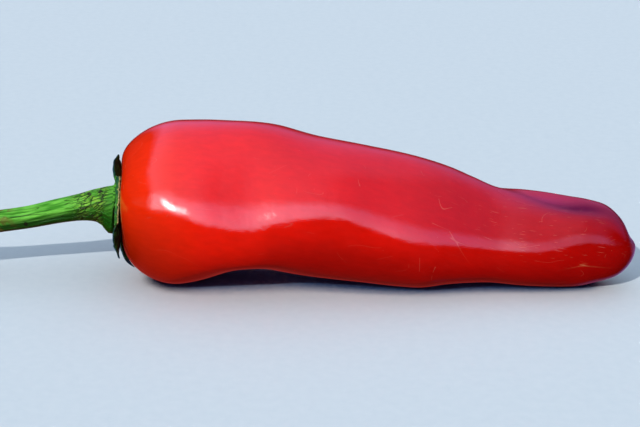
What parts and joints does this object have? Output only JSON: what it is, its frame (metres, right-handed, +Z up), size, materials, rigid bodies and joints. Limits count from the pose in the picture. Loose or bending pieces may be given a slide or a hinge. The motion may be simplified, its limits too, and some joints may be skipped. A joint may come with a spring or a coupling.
{
  "type": "jalapeno pepper",
  "caption": "Ripe red jalapeno pepper lying on its side, with softly lobed skin, a ragged calyx and a curved green stalk.",
  "frame": {"origin": "on the surface that the pepper lies on, under the middle of its bounding box", "axes": "+X along the pepper from the stalk to the blossom end, +Z up"},
  "size_m": [0.1149, 0.0273, 0.0267],
  "materials": {
    "skin": "gloss",
    "calyx": "matte",
    "stalk": "satin"
  },
  "bodies": {
    "root": {"pod": "skin", "calyx": "calyx", "stalk": "stalk"}
  },
  "joints": []
}
